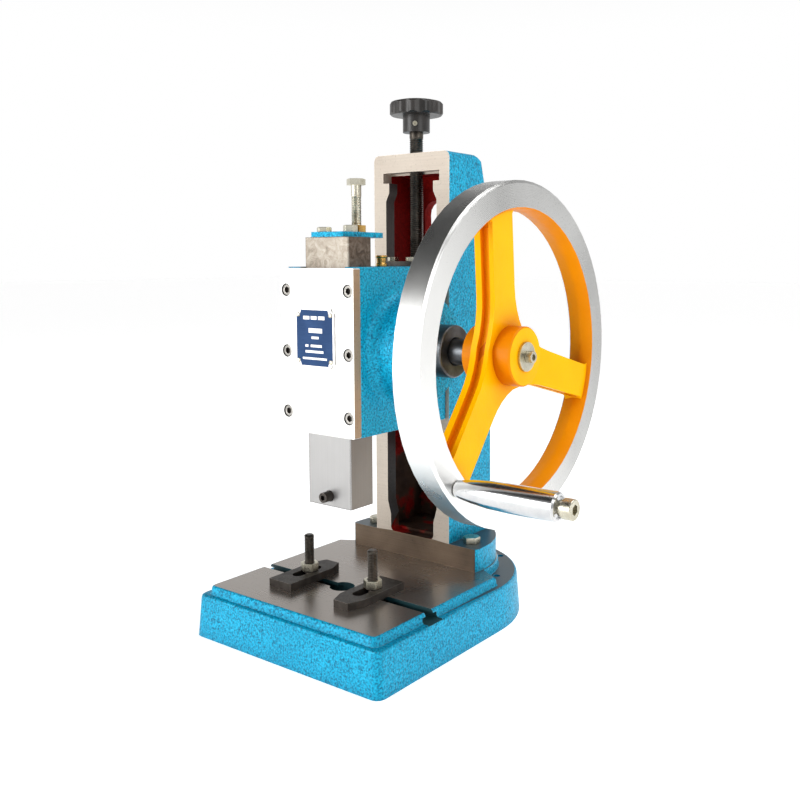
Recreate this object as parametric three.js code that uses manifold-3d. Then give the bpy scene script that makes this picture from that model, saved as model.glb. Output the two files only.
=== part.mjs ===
// Bench hand press: a cast base and column, a head that a lead screw raises and lowers, and a ram that a
// handwheel drives through a pinion and rack.
// Millimetres, +Z up, +X towards the handwheel, -Y towards the operator.
// The origin is on the base's underside, at the middle of the base. Most sizes are given from the ram's
// axis, so the parts hang in a group whose origin is the foot of that axis.
import * as THREE from 'three';
import { mergeVertices } from 'three/addons/utils/BufferGeometryUtils.js';
import Module from 'manifold-3d';

const wasm = await Module();
wasm.setup();

// ---- driving dimensions ----
const SEAT_GAP = 0.1; // between two bolted faces
const CUT_GAP = 0.3; // around a piece let into another
const RUN_GAP = 0.1; // radial gap of a turning shaft
const SLIDE_GAP = 0.25; // on each side of a sliding piece

const BASE = {
  halfWidth: 97, front: -69.6, rearCentre: 85, corner: 7, height: 34,
  wall: 10, pocketTop: 21, ribWidth: 10, ribY: 56, originY: 56,
};
const BASE_SIDES = [[0, 0], [31.8, 2.5], [33.2, 3.1], [34, 4.4]]; // height and how far in from the foot
const TABLE = { top: 40.8, halfWidth: 85.5, front: -60, rear: 90, corner: 3, seatRadius: 69.3 };
const TABLE_SIDES = [[30, 3.8], [33, 3.8], [34.2, 3.2], [35.6, 2.2], [38.9, 1.9], [40.3, 0.9], [40.8, 0]];
const TSLOT = { mouth: 9.2, mouthDepth: 2.8, width: 17.2, depth: 7.5 };
const TABLE_HOLE_RADIUS = 10;
const BENCH_HOLES = { radius: 3, places: [[75, 111], [49, 157]] };

const COLUMN = {
  front: 90, halfWidth: 40, footHalfWidth: 68.2, footCentre: 100, footTop: 60.2, top: 388.7, topCorner: 5,
};
const WINDOW = {
  halfWidth: 27, neckHalfWidth: 23.5, endHalfWidth: 23.6, grooveHalfWidth: 29.9,
  bottom: 60.9, endTop: 76, slotBottom: 88, slotTop: 350, neckBottom: 357, grooveBottom: 365, top: 373.6,
  corner: 3.5, wall: 11,
};
const CAVITY = { halfWidth: 31, front: 101, bottom: 63, top: 372, rearWall: 9 };
const REAR_SLOTS = { halfWidth: 18, spans: [[76, 122], [160, 352]] };
const WEB = { bottom: 132, top: 142, front: 107 };
const FOOT_BOLT = { x: 52.5, y: 106 };
const LOWER_BOLT = { x: 30, y: 145 };

const HEAD = { halfWidth: 37.4, front: -17.3, bottom: 168.2, top: 295, corner: 2 };
const TONGUE = { halfWidth: 26.7, rear: 100.5 };
const SHOE = { halfWidth: 30.4, front: 101.4, thickness: 9, bottom: 178, top: 280 };
const SHOE_BOLT_Z = [196, 262];
const COVER = { thickness: 7.3, top: 294.1, boltX: 31.7, boltZ: [183.3, 230.5, 277.4] };
const PLATE = { width: 40.3, height: 45.6, x: -1.2, z: 241.7, thickness: 1, notch: 3.6, rivetX: 16.8, rivetZ: 17.4 };

const RAM = { halfWidth: 22.5, halfDepth: 13, bottom: 109.5, top: 317.4, socketRadius: 8, socketDepth: 34 };
const TOOL_SCREW_Z = 117.6;
const GEAR = { module: 2, teeth: 24, pressureAngle: 20, faceWidth: 19, backlash: 0.35, lowestGap: -9.5, rackGaps: 15 };
const SHAFT = { y: 35, z: 231.8, radius: 9.9, left: -46, right: 146 };
const BOSS = { radius: 41.5, end: 61.5, fillet: 9 };
const BUSH = { radius: 20, start: 12.5, end: 86.3 };
const CAP = { radius: 36, plugRadius: 27, end: -45.5, boltCircle: 31.2 };

const STOP_PLATE = { halfWidth: 16.4, thickness: 3.9, rearCentre: 28.1 };
const STOP_BOLT = { y: 21.5, tip: 307.5, headBottom: 358 };
const OIL_CUP = { x: 13.9, y: 35 };

const WHEEL = {
  radius: 123.6, innerRadius: 105, rear: 124.8, front: 145.9, hubRadius: 21.6, hubRear: 106, hubFront: 147,
};
const SPOKE = {
  angles: [104, 224, 344], halfWidth: 13.6, fillet: 70, rear: 116, front: 131.3, dish: 0.11, rearFlange: 5,
  frontFlange: 3.6, channel: 4.5,
};
const HANDLE = { radius: 114.3, angle: 224, start: 146.4, end: 221.7, baseRadius: 6, gripRadius: 9.4 };

const SPINDLE = { y: 98, radius: 5.8, neckRadius: 4, tip: 285, pilot: 6.3 };
const KEEPER = { z: 295.1, thickness: 4, halfWidth: 19, front: 69, rear: 103, boltX: 9.8, boltY: 78 };
const KNOB = {
  radius: 22.5, bottom: 420.1, top: 432.7, hubRadius: 11.4, hubBottom: 406.2, lobes: 12,
  screwZ: 412.5, screwAngle: 32,
};

const STRAP = { width: 24, length: 61, thickness: 6.2, slotWidth: 9.4, slotLength: 30, tip: 14, chamfer: 13 };
const STRAPS = [
  { x: -36, middle: -3, nose: 1 },
  { x: 32.2, middle: -6.5, nose: -1 },
];
const STUD = { radius: 4, top: 77.2, headHalfWidth: 7.2, headThickness: 3.7 };

const degrees = (angle) => (angle * Math.PI) / 180;
const rackPitch = Math.PI * GEAR.module;
const pitchRadius = (GEAR.module * GEAR.teeth) / 2;

// ---- materials ----
const finish = (color, roughness, metalness) => new THREE.MeshStandardMaterial({ color, roughness, metalness });
const HAMMER_BLUE = finish(0x12a4da, 0.35, 0.1);
const MACHINED_IRON = finish(0x9a9087, 0.45, 0.8);
const GROUND_STEEL = finish(0xbdbbb8, 0.3, 0.9);
const COVER_STEEL = finish(0xf0ede7, 0.35, 0.7);
const BLACK_OXIDE = finish(0x4a4744, 0.5, 0.7);
const DARK_STEEL = finish(0x4b565b, 0.45, 0.6);
const ZINC = finish(0xcfcbb8, 0.35, 0.9);
const BRASS = finish(0xd0a040, 0.3, 0.95);
const BRONZE = finish(0xb08048, 0.4, 0.9);
const WHEEL_YELLOW = finish(0xffc800, 0.4, 0.1);
const CHROME = finish(0xdfe2e4, 0.1, 1);
const PLATE_BLUE = finish(0x3f5f98, 0.4, 0.3);

// ---- solids: three.js geometry in, manifold solids joined and cut, geometry out ----
function toSolid(geometry) {
  const bare = geometry.clone();
  bare.deleteAttribute('normal');
  bare.deleteAttribute('uv');
  const merged = mergeVertices(bare, 1e-4);
  const corners = merged.index.array;
  const kept = [];
  for (let i = 0; i < corners.length; i += 3) {
    const [a, b, c] = [corners[i], corners[i + 1], corners[i + 2]];
    if (a !== b && b !== c && c !== a) kept.push(a, b, c);
  }
  const vertProperties = Float32Array.from(merged.attributes.position.array);
  return new wasm.Manifold(new wasm.Mesh({ numProp: 3, vertProperties, triVerts: Uint32Array.from(kept) }));
}

function toGeometry(solid) {
  const { vertProperties, triVerts } = solid.getMesh();
  const geometry = new THREE.BufferGeometry();
  geometry.setAttribute('position', new THREE.BufferAttribute(vertProperties, 3));
  geometry.setIndex(new THREE.BufferAttribute(triVerts, 1));
  geometry.computeVertexNormals();
  return geometry;
}

const join = (...solids) => solids.reduce((sum, next) => sum.add(next));
const cut = (body, ...tools) => tools.reduce((left, tool) => left.subtract(tool), body);

const X_AXIS = new THREE.Vector3(1, 0, 0);
const Y_AXIS = new THREE.Vector3(0, 1, 0);
const Z_AXIS = new THREE.Vector3(0, 0, 1);
const TO_X = new THREE.Matrix4().makeBasis(Y_AXIS, Z_AXIS, X_AXIS);
const TO_Y = new THREE.Matrix4().makeBasis(X_AXIS, Z_AXIS, Y_AXIS.clone().negate());

const extruded = (shape, length) => new THREE.ExtrudeGeometry(shape, { depth: length, bevelEnabled: false });

// Prisms from one level to another along an axis. Their outlines are drawn in (y, z), (x, z) and (x, y).
const prismX = (shape, from, to) => toSolid(extruded(shape, to - from).applyMatrix4(TO_X).translate(from, 0, 0));
const prismY = (shape, from, to) => toSolid(extruded(shape, to - from).applyMatrix4(TO_Y).translate(0, to, 0));
const prismZ = (shape, from, to) => toSolid(extruded(shape, to - from).translate(0, 0, from));

function box(low, high) {
  const size = high.map((value, i) => value - low[i]);
  const centre = high.map((value, i) => (value + low[i]) / 2);
  return toSolid(new THREE.BoxGeometry(...size).translate(...centre));
}

// Turned pieces: a profile of [radius, height] pairs, closed through the axis, about +Z or +X.
function turnedZ(profile, segments = 32) {
  const points = profile.map(([radius, height]) => new THREE.Vector2(radius, height));
  return toSolid(new THREE.LatheGeometry(points, segments).rotateX(Math.PI / 2));
}
const turnedX = (profile, segments = 32) => turnedZ(profile, segments).rotate([0, 90, 0]);

const rod = (radius, from, to) => [[0, from], [radius, from], [radius, to], [0, to]];
const rodZ = (radius, from, to, x = 0, y = 0, segments = 24) =>
  turnedZ(rod(radius, from, to), segments).translate([x, y, 0]);
const rodX = (radius, from, to, y = 0, z = 0, segments = 24) =>
  turnedX(rod(radius, from, to), segments).translate([0, y, z]);
const rodY = (radius, from, to, x = 0, z = 0, segments = 24) =>
  turnedZ(rod(radius, -to, -from), segments).rotate([90, 0, 0]).translate([x, 0, z]);

function polygon(points) {
  return new THREE.Shape(points.map(([u, v]) => new THREE.Vector2(u, v)));
}

// Points of an arc, angles in degrees.
function arc(x, y, radius, from, to, steps) {
  const points = [];
  for (let i = 0; i <= steps; i += 1) {
    const angle = degrees(from + ((to - from) * i) / steps);
    points.push([x + radius * Math.cos(angle), y + radius * Math.sin(angle)]);
  }
  return points;
}

function roundedRect(left, right, bottom, top, radius, steps = 2) {
  return polygon([
    ...arc(left + radius, bottom + radius, radius, 180, 270, steps),
    ...arc(right - radius, bottom + radius, radius, 270, 360, steps),
    ...arc(right - radius, top - radius, radius, 0, 90, steps),
    ...arc(left + radius, top - radius, radius, 90, 180, steps),
  ]);
}

// A rectangle from the front to a full half circle at the back, in (x, y).
function dPoints(halfWidth, front, rearCentre, corner, steps) {
  return [
    ...arc(-halfWidth + corner, front + corner, corner, 180, 270, 3),
    ...arc(halfWidth - corner, front + corner, corner, 270, 360, 3),
    ...arc(0, rearCentre, halfWidth, 0, 180, steps),
  ];
}
const dShape = (...sizes) => polygon(dPoints(...sizes));

// A hexagon with two flats square to the first axis.
function hexagon(acrossFlats) {
  const radius = acrossFlats / Math.sqrt(3);
  const corner = (i) => [radius * Math.sin((i * Math.PI) / 3), radius * Math.cos((i * Math.PI) / 3)];
  return polygon([0, 5, 4, 3, 2, 1].map(corner));
}

// ---- the scene graph ----
const press = new THREE.Group();
const ramFoot = new THREE.Group();
ramFoot.position.y = -BASE.originY;
press.add(ramFoot);

function place(name, solid, material, position = [0, 0, 0], rotation = [0, 0, 0]) {
  const mesh = new THREE.Mesh(toGeometry(solid), material);
  mesh.name = name;
  mesh.position.set(...position);
  mesh.rotation.set(...rotation.map(degrees));
  ramFoot.add(mesh);
}

const HEAD_DOWN = [180, 0, 0];
const FACING_FRONT = [90, 0, 0];
const FACING_REAR = [-90, 0, 0];
const FACING_RIGHT = [0, 90, 0];
const FACING_LEFT = [0, -90, 0];

// ---- fasteners: the head's underside is at z = 0 and the shank runs down ----
function hexBolt(acrossFlats, headHeight, shankRadius, shankLength) {
  const crown = turnedZ([[0, 0], [acrossFlats, 0], [acrossFlats * 0.66, headHeight - 0.8],
    [acrossFlats * 0.48, headHeight], [0, headHeight]], 12);
  const head = prismZ(hexagon(acrossFlats), 0, headHeight).intersect(crown);
  return join(head, rodZ(shankRadius, -shankLength, 0.5, 0, 0, 12));
}

function socketScrew(headRadius, headHeight, shankRadius, shankLength) {
  const head = rodZ(headRadius, 0, headHeight, 0, 0, 16);
  const socket = prismZ(hexagon(headRadius * 1.05), headHeight * 0.45, headHeight + 1);
  return join(cut(head, socket), rodZ(shankRadius, -shankLength, 0.5, 0, 0, 10));
}

function hexNut(acrossFlats, height, boreRadius) {
  return cut(prismZ(hexagon(acrossFlats), 0, height), rodZ(boreRadius, -1, height + 1, 0, 0, 14));
}

function hexNutZ(acrossFlats, from, height, boreRadius) {
  return hexNut(acrossFlats, height, boreRadius).translate([0, 0, from]);
}

function washerX(radius, bore, thickness) {
  return turnedX([[bore, 0], [radius, 0], [radius, thickness], [bore, thickness], [bore, 0]], 24);
}

// ---- base ----
// A solid through outlines stacked in z, all with the same number of points: levels are [z, points].
function lofted(levels) {
  const count = levels[0][1].length;
  const index = [];
  for (let ring = 0; ring < levels.length - 1; ring += 1) {
    for (let i = 0; i < count; i += 1) {
      const a = ring * count + i;
      const b = ring * count + ((i + 1) % count);
      index.push(a, b, b + count, a, b + count, a + count);
    }
  }
  const caps = THREE.ShapeUtils.triangulateShape(levels[0][1].map(([x, y]) => new THREE.Vector2(x, y)), []);
  const last = (levels.length - 1) * count;
  caps.forEach(([a, b, c]) => index.push(a, c, b, last + a, last + b, last + c));
  const geometry = new THREE.BufferGeometry();
  const corners = levels.flatMap(([z, points]) => points.flatMap(([x, y]) => [x, y, z]));
  geometry.setAttribute('position', new THREE.Float32BufferAttribute(corners, 3));
  geometry.setIndex(index);
  return toSolid(geometry);
}

function tableOutline(grow) {
  const { halfWidth, front, rear, corner, seatRadius } = TABLE;
  const radius = corner + grow;
  return [
    ...arc(-halfWidth + corner, front + corner, radius, 180, 270, 3),
    ...arc(halfWidth - corner, front + corner, radius, 270, 360, 3),
    [halfWidth + grow, rear + grow * 0.5],
    ...arc(0, COLUMN.footCentre, seatRadius + grow * 0.5, 0, 180, 24),
    [-halfWidth - grow, rear + grow * 0.5],
  ];
}

function baseOutline(inset) {
  return dPoints(BASE.halfWidth - inset, BASE.front + inset, BASE.rearCentre, BASE.corner - inset * 0.5, 32);
}

function baseCasting() {
  const block = join(lofted(BASE_SIDES.map(([z, inset]) => [z, baseOutline(inset)])),
    lofted(TABLE_SIDES.map(([z, grow]) => [z, tableOutline(grow)])));
  const inner = dShape(BASE.halfWidth - BASE.wall, BASE.front + BASE.wall, BASE.rearCentre, 3, 20);
  const ribs = [
    box([-BASE.halfWidth, BASE.ribY - BASE.ribWidth / 2, -2], [BASE.halfWidth, BASE.ribY + BASE.ribWidth / 2, 30]),
    rodZ(TABLE_HOLE_RADIUS + 9, 8, 30, 0, 0, 32),
  ];
  const pocket = cut(prismZ(inner, -1, BASE.pocketTop), ...ribs);
  const { mouth, mouthDepth, width, depth } = TSLOT;
  const slotTools = [
    box([-100, -mouth / 2, TABLE.top - mouthDepth - 0.5], [100, mouth / 2, TABLE.top + 1]),
    box([-100, -width / 2, TABLE.top - depth], [100, width / 2, TABLE.top - mouthDepth]),
  ];
  const benchHoles = BENCH_HOLES.places.flatMap(([x, y]) => [
    rodZ(BENCH_HOLES.radius, 5, 45, x, y, 12), rodZ(BENCH_HOLES.radius, 5, 45, -x, y, 12),
  ]);
  const footHoles = [-1, 1].flatMap((side) => [
    rodZ(4 + CUT_GAP, 5, 45, side * FOOT_BOLT.x, FOOT_BOLT.y, 16),
    rodZ(4 + CUT_GAP, 5, 45, side * LOWER_BOLT.x, LOWER_BOLT.y, 16),
  ]);
  const centreHole = rodZ(TABLE_HOLE_RADIUS, -1, 45, 0, 0, 32);
  return cut(block, pocket, ...slotTools, centreHole, ...benchHoles, ...footHoles);
}

// ---- column ----
function uprightProfile() {
  return polygon([[COLUMN.front, 58], [154, 58], [152.6, 150], [146.4, 265], [140.8, 366], [136, 383],
    [128, COLUMN.top], [COLUMN.front, COLUMN.top]]);
}

function windowOutline() {
  const w = WINDOW;
  const side = [[w.endHalfWidth, w.endTop], [w.halfWidth, w.slotBottom], [w.halfWidth, w.slotTop],
    [w.neckHalfWidth, w.neckBottom], [w.neckHalfWidth, w.grooveBottom], [w.grooveHalfWidth, w.grooveBottom],
    [w.grooveHalfWidth, w.top]];
  return polygon([
    ...arc(-w.endHalfWidth + w.corner, w.bottom + w.corner, w.corner, 180, 270, 3),
    ...arc(w.endHalfWidth - w.corner, w.bottom + w.corner, w.corner, 270, 360, 3),
    ...side,
    ...side.map(([x, z]) => [-x, z]).reverse(),
  ]);
}

function columnCavity() {
  const { halfWidth, front, bottom, top, rearWall } = CAVITY;
  const profile = polygon([[front, bottom], [153 - rearWall, bottom], [152 - rearWall, 150],
    [146 - rearWall, 265], [140.8 - rearWall, 360], [132 - rearWall, top], [front, top]]);
  const web = box([-halfWidth - 1, WEB.front, WEB.bottom], [halfWidth + 1, 170, WEB.top]);
  return cut(prismX(profile, -halfWidth, halfWidth), web);
}

function columnCasting() {
  const bottom = TABLE.top + SEAT_GAP;
  const foot = prismZ(dShape(COLUMN.footHalfWidth, COLUMN.front, COLUMN.footCentre, 3, 24), bottom, COLUMN.footTop);
  const frontView = roundedRect(-COLUMN.halfWidth, COLUMN.halfWidth, 50, COLUMN.top, COLUMN.topCorner, 3);
  const upright = prismX(uprightProfile(), -45, 45).intersect(prismY(frontView, 80, 170));
  const slots = REAR_SLOTS.spans.map(([low, high]) =>
    prismY(roundedRect(-REAR_SLOTS.halfWidth, REAR_SLOTS.halfWidth, low, high, 12, 4), 118, 170));
  const bolts = [-1, 1].flatMap((side) => [
    rodZ(4 + CUT_GAP, 30, 70, side * FOOT_BOLT.x, FOOT_BOLT.y, 16),
    rodZ(4 + CUT_GAP, 30, 57, side * LOWER_BOLT.x, LOWER_BOLT.y, 16),
  ]);
  const thread = rodZ(SPINDLE.radius + CUT_GAP, 360, 400, 0, SPINDLE.y, 20);
  const window = prismY(windowOutline(), COLUMN.front - 1, CAVITY.front + 0.01);
  return cut(join(foot, upright), window, columnCavity(), ...slots, ...bolts, thread);
}

// ---- head ----
function headCasting() {
  const h = HEAD;
  const rear = COLUMN.front - SLIDE_GAP;
  const body = prismZ(roundedRect(-h.halfWidth, h.halfWidth, h.front, rear, h.corner), h.bottom, h.top);
  const tongue = box([-TONGUE.halfWidth, rear - 1, h.bottom + 2], [TONGUE.halfWidth, TONGUE.rear, h.top]);
  const foot = BOSS.radius + BOSS.fillet;
  const flare = [1, 2, 3].map((i) => {
    const angle = degrees(22.5 * i);
    return [foot - BOSS.fillet * Math.sin(angle), h.halfWidth + BOSS.fillet * (1 - Math.cos(angle))];
  });
  const boss = turnedX([[0, 10], [foot, h.halfWidth - 0.5], [foot, h.halfWidth], ...flare,
    [BOSS.radius, h.halfWidth + BOSS.fillet], [BOSS.radius, BOSS.end - 1.5], [BOSS.radius - 1.5, BOSS.end],
    [0, BOSS.end]], 40).translate([0, SHAFT.y, SHAFT.z]);
  const ramWay = box([-RAM.halfWidth - SLIDE_GAP, h.front - 1, 160],
    [RAM.halfWidth + SLIDE_GAP, RAM.halfDepth + SLIDE_GAP, 300]);
  const pinionSpace = rodX(CAP.plugRadius + CUT_GAP, -50, BUSH.start - 1, SHAFT.y, SHAFT.z, 36);
  const bushBore = rodX(BUSH.radius + CUT_GAP, 0, 70, SHAFT.y, SHAFT.z, 32);
  const spindleBore = rodZ(SPINDLE.pilot, SPINDLE.tip - 1, 300, 0, SPINDLE.y, 20);
  const coverHoles = COVER.boltZ.flatMap((z) => [-1, 1].map((side) =>
    rodY(2.5 + CUT_GAP, -30, 4, side * COVER.boltX, z, 10)));
  const shoeHoles = SHOE_BOLT_Z.map((z) => rodY(3 + CUT_GAP, 84, 110, 0, z, 12));
  const keeperHoles = [-1, 1].map((side) =>
    rodZ(2.5 + CUT_GAP, 282, 300, side * KEEPER.boltX, KEEPER.boltY, 10));
  const capHoles = capBoltAngles().map((angle) => {
    const [y, z] = capBoltPlace(angle);
    return rodX(2 + CUT_GAP, -50, -24, y, z, 10);
  });
  const oilHole = rodZ(3 + CUT_GAP, 286, 300, OIL_CUP.x, OIL_CUP.y, 16);
  return cut(join(body, tongue, boss), ramWay, pinionSpace, bushBore, spindleBore, oilHole,
    ...coverHoles, ...shoeHoles, ...keeperHoles, ...capHoles);
}

function clampShoe() {
  const rear = SHOE.front + SHOE.thickness;
  const bar = box([-SHOE.halfWidth, SHOE.front, SHOE.bottom], [SHOE.halfWidth, rear, SHOE.top]);
  const holes = SHOE_BOLT_Z.map((z) => rodY(3 + CUT_GAP, SHOE.front - 1, rear + 1, 0, z, 12));
  return cut(bar, ...holes);
}

function gibPlate() {
  const front = HEAD.front + SEAT_GAP;
  const rear = -RAM.halfDepth - 0.2;
  return box([-RAM.halfWidth, front, HEAD.bottom + 3], [RAM.halfWidth, rear, HEAD.top - 3]);
}

function coverPlate() {
  const rear = HEAD.front - SEAT_GAP;
  const front = rear - COVER.thickness;
  const face = roundedRect(-HEAD.halfWidth, HEAD.halfWidth, HEAD.bottom, COVER.top, 0.8, 1);
  const holes = COVER.boltZ.flatMap((z) => [-1, 1].flatMap((side) => [
    rodY(2.5 + CUT_GAP, front - 1, rear + 1, side * COVER.boltX, z, 10),
    rodY(4.9, front - 1, front + 5.3, side * COVER.boltX, z, 18),
  ]));
  const rivets = rivetPlaces().map(([x, z]) => rodY(1 + CUT_GAP, front - 1, front + 4, x, z, 8));
  return cut(prismY(face, front, rear), ...holes, ...rivets);
}

const coverFront = HEAD.front - SEAT_GAP - COVER.thickness;

// ---- nameplate: a rectangle with quarter circles cut out of its corners ----
function nameplate() {
  const { width, height, notch, thickness } = PLATE;
  const [w, h] = [width / 2, height / 2];
  const shape = polygon([
    ...arc(-w, -h, notch, 90, 0, 4),
    ...arc(w, -h, notch, 180, 90, 4),
    ...arc(w, h, notch, 270, 180, 4),
    ...arc(-w, h, notch, 0, -90, 4),
  ]);
  const holes = [-1, 1].flatMap((u) => [-1, 1].map((v) =>
    rodY(1 + CUT_GAP, -3, 3, u * PLATE.rivetX, v * PLATE.rivetZ, 8)));
  return cut(prismY(shape, -thickness, 0), ...holes);
}

function rivetPlaces() {
  return [-1, 1].flatMap((u) => [-1, 1].map((v) =>
    [PLATE.x + u * PLATE.rivetX, PLATE.z + v * PLATE.rivetZ]));
}

function rivet() {
  return turnedZ([[0, -3.5], [1, -3.5], [1, 0.1], [1.9, 0.1], [1.4, 1], [0, 1.3]], 8);
}

// ---- ram and rack ----
const rackLine = SHAFT.y - pitchRadius;

function rackGap(z) {
  const flank = Math.tan(degrees(GEAR.pressureAngle));
  const root = rackLine - GEAR.module * 1.2;
  const mouth = RAM.halfDepth + 1;
  const half = (y) => rackPitch / 4 + GEAR.backlash / 2 + (y - rackLine) * flank;
  const shape = polygon([[root, z - half(root)], [mouth, z - half(mouth)], [mouth, z + half(mouth)],
    [root, z + half(root)]]);
  return prismX(shape, -GEAR.faceWidth / 2 - 0.5, GEAR.faceWidth / 2 + 0.5);
}

function ram() {
  const { halfWidth, halfDepth, bottom, top } = RAM;
  const body = prismZ(roundedRect(-halfWidth, halfWidth, -halfDepth, halfDepth, 0.8, 1), bottom, top);
  const gaps = [];
  for (let i = 0; i < GEAR.rackGaps; i += 1) {
    gaps.push(rackGap(SHAFT.z + (GEAR.lowestGap + i) * rackPitch));
  }
  const socket = rodZ(RAM.socketRadius, bottom - 1, bottom + RAM.socketDepth, 0, 0, 24);
  const screwHole = rodY(4 + CUT_GAP, -halfDepth - 1, 0, 0, TOOL_SCREW_Z, 14);
  const plateHoles = PLATE_BOLTS.map(([x, y]) => rodZ(3 + CUT_GAP, top - 14, top + 1, x, y, 12));
  return cut(body, ...gaps, socket, screwHole, ...plateHoles);
}

const PLATE_BOLTS = [[-8, -6.5], [8, 5.5]];

function toolScrew() {
  const body = rodZ(4, -12, 8);
  return cut(body, prismZ(hexagon(4), 4.5, 9));
}

// Teeth of the pinion, drawn in (y, z), with the middle of a tooth gap pointing at the rack.
function pinionOutline() {
  const { module, teeth, pressureAngle, backlash } = GEAR;
  const baseRadius = pitchRadius * Math.cos(degrees(pressureAngle));
  const involute = (radius) => {
    const angle = Math.acos(Math.min(1, baseRadius / radius));
    return Math.tan(angle) - angle;
  };
  const tip = pitchRadius + module * 0.95;
  const root = pitchRadius - module * 1.2;
  const halfPitchTooth = Math.PI / (2 * teeth) - backlash / (2 * pitchRadius);
  const halfTooth = (radius) => halfPitchTooth + involute(pitchRadius) - involute(radius);
  const radii = [baseRadius, pitchRadius, tip];
  const points = [];
  for (let tooth = 0; tooth < teeth; tooth += 1) {
    const centre = Math.PI + ((tooth + 0.5) * 2 * Math.PI) / teeth;
    const at = (radius, angle) => points.push([radius * Math.cos(angle), radius * Math.sin(angle)]);
    at(root, centre - halfTooth(baseRadius));
    radii.forEach((radius) => at(radius, centre - halfTooth(radius)));
    [...radii].reverse().forEach((radius) => at(radius, centre + halfTooth(radius)));
    at(root, centre + halfTooth(baseRadius));
  }
  return polygon(points);
}

function pinionShaft() {
  const r = SHAFT.radius;
  const shaft = turnedX([[0, SHAFT.left], [r - 1, SHAFT.left], [r, SHAFT.left + 1], [r, SHAFT.right - 1],
    [r - 1, SHAFT.right], [0, SHAFT.right]], 36);
  const pinion = prismX(pinionOutline(), -GEAR.faceWidth / 2, GEAR.faceWidth / 2);
  const keyway = box([KEY.start, -KEY.width / 2 - 0.05, r - 3], [KEY.end, KEY.width / 2 + 0.05, r + 1]);
  const thread = rodX(2.5 + CUT_GAP, SHAFT.right - 24, SHAFT.right + 1, 0, 0, 12);
  return cut(join(shaft, pinion), keyway, thread);
}

const KEY = { start: 110, end: 138, width: 6, bottom: 7.1, top: 12.5 };

function shaftKey() {
  return box([KEY.start + 0.3, -KEY.width / 2 + 0.1, KEY.bottom], [KEY.end - 0.3, KEY.width / 2 - 0.1, KEY.top]);
}

function shaftBush() {
  const profile = [[SHAFT.radius + RUN_GAP, BUSH.start], [BUSH.radius, BUSH.start],
    [BUSH.radius, BUSH.end - 1], [BUSH.radius - 1, BUSH.end], [SHAFT.radius + 1, BUSH.end],
    [SHAFT.radius + RUN_GAP, BUSH.end - 1], [SHAFT.radius + RUN_GAP, BUSH.start]];
  return turnedX(profile, 36);
}

const capBoltAngles = () => [90, 210, 330];
const capBoltPlace = (angle) => [
  SHAFT.y + CAP.boltCircle * Math.cos(degrees(angle)), SHAFT.z + CAP.boltCircle * Math.sin(degrees(angle)),
];

function shaftCap() {
  const face = -HEAD.halfWidth - SEAT_GAP;
  const inner = -RAM.halfWidth - 1.5;
  const bore = SHAFT.radius + RUN_GAP;
  const body = turnedX([[0, CAP.end - 4], [13, CAP.end - 4], [15, CAP.end], [CAP.radius - 1.5, CAP.end],
    [CAP.radius, CAP.end + 1.5], [CAP.radius, face], [CAP.plugRadius - RUN_GAP, face],
    [CAP.plugRadius - RUN_GAP, inner], [0, inner]], 36);
  const holes = capBoltAngles().map((angle) => {
    const [y, z] = capBoltPlace(angle);
    return rodX(2 + CUT_GAP, -60, 0, y - SHAFT.y, z - SHAFT.z, 10);
  });
  return cut(body, rodX(bore, SHAFT.left - 1, 0, 0, 0, 36), ...holes);
}

// ---- stop ----
function stopPlate() {
  const { halfWidth, thickness, rearCentre } = STOP_PLATE;
  const outline = dShape(halfWidth, -RAM.halfDepth, rearCentre, 1.5, 16);
  const holes = PLATE_BOLTS.map(([x, y]) => rodZ(3 + CUT_GAP, -1, thickness + 1, x, y, 12));
  return cut(prismZ(outline, 0, thickness), ...holes, rodZ(4 + CUT_GAP, -1, 6, 0, STOP_BOLT.y, 14));
}

function oilCup() {
  return turnedZ([[0, -7], [3, -7], [3, 0.1], [4.4, 0.1], [4.4, 2.2], [3.6, 3], [3.9, 6.8], [4.6, 7.4],
    [4.6, 8.8], [0, 8.8]], 16);
}

// ---- handwheel ----
// One spoke with its share of the web round the hub, drawn along y in (y, z). Fillets tangent to two
// neighbouring spokes meet on the lines 60 degrees either side of it.
function spoke(angle) {
  const { halfWidth, fillet, rear, front, dish, rearFlange, frontFlange, channel } = SPOKE;
  const reach = WHEEL.innerRadius + 4;
  const away = (halfWidth + fillet) / Math.sin(degrees(60));
  const [y, z] = [away * Math.cos(degrees(60)), away * Math.sin(degrees(60))];
  const side = [...arc(y, z, fillet, 240, 270, 4), [reach - 9, halfWidth - 0.6], [reach, halfWidth + 6]];
  const mirrored = (points) => points.map(([u, v]) => [u, -v]).reverse();
  const face = polygon([[0, 0], ...mirrored(side).reverse(), ...[...side].reverse()]);
  const groove = [...arc(y, z, fillet + channel, 240, 270, 4), [reach - 14, halfWidth - 0.6 - channel],
    [reach - 8, halfWidth - 0.4], [reach - 8, 60], [y, z]];
  const grooves = [groove, mirrored(groove)].map((points) =>
    prismX(polygon(points), rear + rearFlange, front - frontFlange));
  return cut(prismX(face, rear, front), ...grooves)
    .warp((corner) => { corner[0] += dish * corner[1]; })
    .rotate([angle, 0, 0]);
}

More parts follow.
